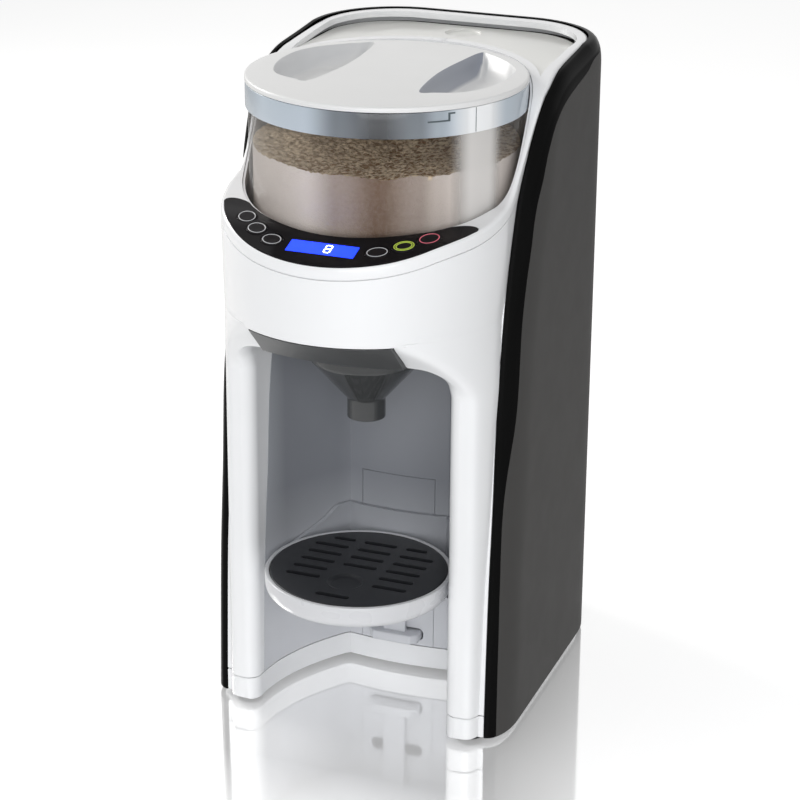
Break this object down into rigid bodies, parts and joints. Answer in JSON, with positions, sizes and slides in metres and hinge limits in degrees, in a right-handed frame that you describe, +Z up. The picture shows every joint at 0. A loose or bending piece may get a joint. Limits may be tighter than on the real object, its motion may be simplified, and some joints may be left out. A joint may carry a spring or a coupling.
{
  "type": "baby formula maker",
  "caption": "Countertop formula maker with a round powder container, curved button panel, pull-out funnel over a bottle bay, round drip tray and a rear water tank.",
  "frame": {"origin": "middle of the space it stands on, at the bottom of the feet", "axes": "+X to the right of someone facing the front, front towards -Y, +Z up"},
  "size_m": [0.1876, 0.2716, 0.386],
  "materials": {
    "white": "gloss",
    "grey": "satin",
    "trim": "gloss",
    "lens": "gloss",
    "display": "lit",
    "button": "gloss",
    "smoked": "smoked, see-through",
    "clear": "clear",
    "frosted": "frosted",
    "grate": "satin",
    "rubber": "matte",
    "steel": "satin",
    "circuit": "satin",
    "nylon": "satin",
    "silicone": "matte"
  },
  "bodies": {
    "housing": {"front_housing": "white", "bay_liner": "white", "bay_rear_plate": "white", "top_cover": "white", "container_cradle": "white", "base_frame": "white", "tank_shelf": "white", "left_side_panel": "grey", "right_side_panel": "grey", "rear_cover": "grey", "left_trim": "trim", "right_trim": "trim", "water_pump": "trim", "power_inlet": "trim", "control_panel": "lens", "display_window": "display", "foot_front_left": "rubber", "foot_front_right": "rubber", "foot_rear_left": "rubber", "foot_rear_right": "rubber", "motor_bracket": "steel", "stirring_motor": "steel", "water_heater": "steel", "control_board": "circuit", "power_board": "circuit", "powder_chute": "nylon", "water_nozzle": "nylon", "feed_hose": "silicone", "heater_hose": "silicone", "outlet_hose": "silicone"},
    "powder_container": {"powder_container": "clear"},
    "stirring_wheel": {"stirring_wheel": "nylon"},
    "lid_ring": {"lid_ring": "frosted"},
    "container_lid": {"container_lid": "white"},
    "drive": {"drive_shaft": "steel", "drive_gear": "nylon"},
    "motor_pinion": {"motor_pinion": "nylon"},
    "funnel_drawer": {"funnel_drawer": "smoked", "funnel": "smoked", "funnel_cover": "smoked"},
    "drip_tray": {"drip_tray": "white", "tray_bracket": "white"},
    "drip_grate": {"drip_grate": "grate"},
    "water_tank": {"water_tank": "clear", "tank_valve": "rubber"},
    "tank_lid": {"tank_lid": "frosted"},
    "button_1": {"button_1": "button"},
    "button_2": {"button_2": "button"},
    "button_3": {"button_3": "button"},
    "button_4": {"button_4": "button"},
    "button_5": {"button_5": "button"},
    "button_6": {"button_6": "button"}
  },
  "joints": [
    {"name": "container_lift", "type": "slide", "parent": "housing", "child": "powder_container", "axis": [0, 0, 1], "range_m": [0, 0.09]},
    {"name": "lid_ring_lift", "type": "slide", "parent": "powder_container", "child": "lid_ring", "axis": [0, 0, 1], "range_m": [0, 0.05]},
    {"name": "lid_twist", "type": "hinge", "parent": "lid_ring", "child": "container_lid", "pos_m": [0, -0.0248, 0.3833], "axis": [0, 0, 1], "range_deg": [0, 30]},
    {"name": "gear_spin", "type": "hinge", "parent": "housing", "child": "drive", "pos_m": [0, -0.0248, 0.288], "axis": [0, 0, 1], "continuous": true},
    {"name": "wheel_spin", "type": "hinge", "parent": "powder_container", "child": "stirring_wheel", "pos_m": [0, -0.0248, 0.3035], "axis": [0, 0, 1], "continuous": true},
    {"name": "pinion_spin", "type": "hinge", "parent": "housing", "child": "motor_pinion", "pos_m": [0, -0.0055, 0.288], "axis": [0, 0, 1], "continuous": true},
    {"name": "drawer_pull", "type": "slide", "parent": "housing", "child": "funnel_drawer", "axis": [0, -1, 0], "range_m": [0, 0.1]},
    {"name": "tray_pull", "type": "slide", "parent": "housing", "child": "drip_tray", "axis": [0, -1, 0], "range_m": [0, 0.08]},
    {"name": "grate_lift", "type": "slide", "parent": "drip_tray", "child": "drip_grate", "axis": [0, 0, 1], "range_m": [0, 0.03]},
    {"name": "tank_lift", "type": "slide", "parent": "housing", "child": "water_tank", "axis": [0, 0, 1], "range_m": [0, 0.15]},
    {"name": "tank_lid_lift", "type": "slide", "parent": "water_tank", "child": "tank_lid", "axis": [0, 0, 1], "range_m": [0, 0.04]},
    {"name": "button_1_press", "type": "slide", "parent": "housing", "child": "button_1", "axis": [0, 0.2419, -0.9703], "range_m": [0, 0.001], "stiffness_N_per_m": 400, "springref_m": -0.002},
    {"name": "button_2_press", "type": "slide", "parent": "housing", "child": "button_2", "axis": [0, 0.2419, -0.9703], "range_m": [0, 0.001], "stiffness_N_per_m": 400, "springref_m": -0.002},
    {"name": "button_3_press", "type": "slide", "parent": "housing", "child": "button_3", "axis": [0, 0.2419, -0.9703], "range_m": [0, 0.001], "stiffness_N_per_m": 400, "springref_m": -0.002},
    {"name": "button_4_press", "type": "slide", "parent": "housing", "child": "button_4", "axis": [0, 0.2419, -0.9703], "range_m": [0, 0.001], "stiffness_N_per_m": 400, "springref_m": -0.002},
    {"name": "button_5_press", "type": "slide", "parent": "housing", "child": "button_5", "axis": [0, 0.2419, -0.9703], "range_m": [0, 0.001], "stiffness_N_per_m": 400, "springref_m": -0.002},
    {"name": "button_6_press", "type": "slide", "parent": "housing", "child": "button_6", "axis": [0, 0.2419, -0.9703], "range_m": [0, 0.001], "stiffness_N_per_m": 400, "springref_m": -0.002}
  ],
  "couplings": [
    {"joint": "wheel_spin", "follows": "gear_spin", "ratio": 1},
    {"joint": "pinion_spin", "follows": "gear_spin", "ratio": -2.8}
  ]
}
